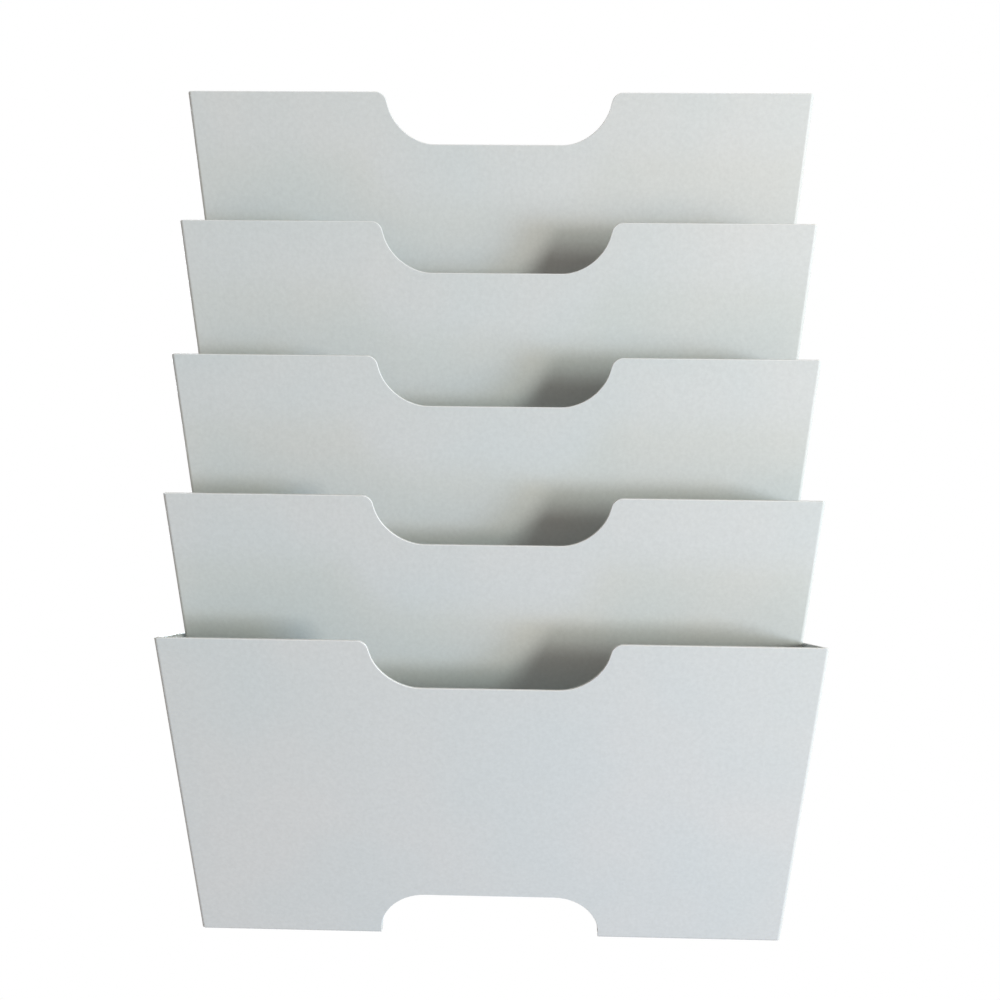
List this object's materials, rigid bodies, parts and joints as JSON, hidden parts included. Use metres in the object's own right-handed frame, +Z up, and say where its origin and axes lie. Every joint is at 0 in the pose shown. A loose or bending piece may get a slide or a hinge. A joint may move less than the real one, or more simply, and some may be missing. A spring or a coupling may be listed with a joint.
{
  "type": "wall chart rack",
  "caption": "Wall-hung rack of leaning sheet-steel trays, each hooked on the tray above, with finger notches in the front panels, for standing charts and folders in tiers.",
  "frame": {"origin": "middle of the back face of the wall plate, on the wall", "axes": "+X to the right across the rack as seen from the front, +Y into the wall, +Z up"},
  "size_m": [0.328, 0.0972, 0.4447],
  "materials": {
    "painted_sheet": "pale grey powder coat, fine texture, satin",
    "plated_steel": "bright zinc plate"
  },
  "bodies": {
    "tray_1": {"tray_1_front": "painted_sheet", "wall_plate": "painted_sheet", "tray_1_stud_lower_left": "plated_steel", "tray_1_stud_lower_right": "plated_steel", "tray_1_stud_upper_left": "plated_steel", "tray_1_stud_upper_right": "plated_steel"},
    "tray_2": {"tray_2_front": "painted_sheet", "tray_2_back": "painted_sheet", "tray_2_stud_lower_left": "plated_steel", "tray_2_stud_lower_right": "plated_steel", "tray_2_stud_upper_left": "plated_steel", "tray_2_stud_upper_right": "plated_steel"},
    "tray_3": {"tray_3_front": "painted_sheet", "tray_3_back": "painted_sheet", "tray_3_stud_lower_left": "plated_steel", "tray_3_stud_lower_right": "plated_steel", "tray_3_stud_upper_left": "plated_steel", "tray_3_stud_upper_right": "plated_steel"},
    "tray_4": {"tray_4_front": "painted_sheet", "tray_4_back": "painted_sheet", "tray_4_stud_lower_left": "plated_steel", "tray_4_stud_lower_right": "plated_steel", "tray_4_stud_upper_left": "plated_steel", "tray_4_stud_upper_right": "plated_steel"},
    "tray_5": {"tray_5_front": "painted_sheet", "tray_5_back": "painted_sheet"}
  },
  "joints": [
    {"name": "tray_2_lift", "type": "slide", "parent": "tray_1", "child": "tray_2", "axis": [0, 0, 1], "range_m": [0, 0.008]},
    {"name": "tray_3_lift", "type": "slide", "parent": "tray_2", "child": "tray_3", "axis": [0, 0, 1], "range_m": [0, 0.008]},
    {"name": "tray_4_lift", "type": "slide", "parent": "tray_3", "child": "tray_4", "axis": [0, 0, 1], "range_m": [0, 0.008]},
    {"name": "tray_5_lift", "type": "slide", "parent": "tray_4", "child": "tray_5", "axis": [0, 0, 1], "range_m": [0, 0.008]}
  ]
}
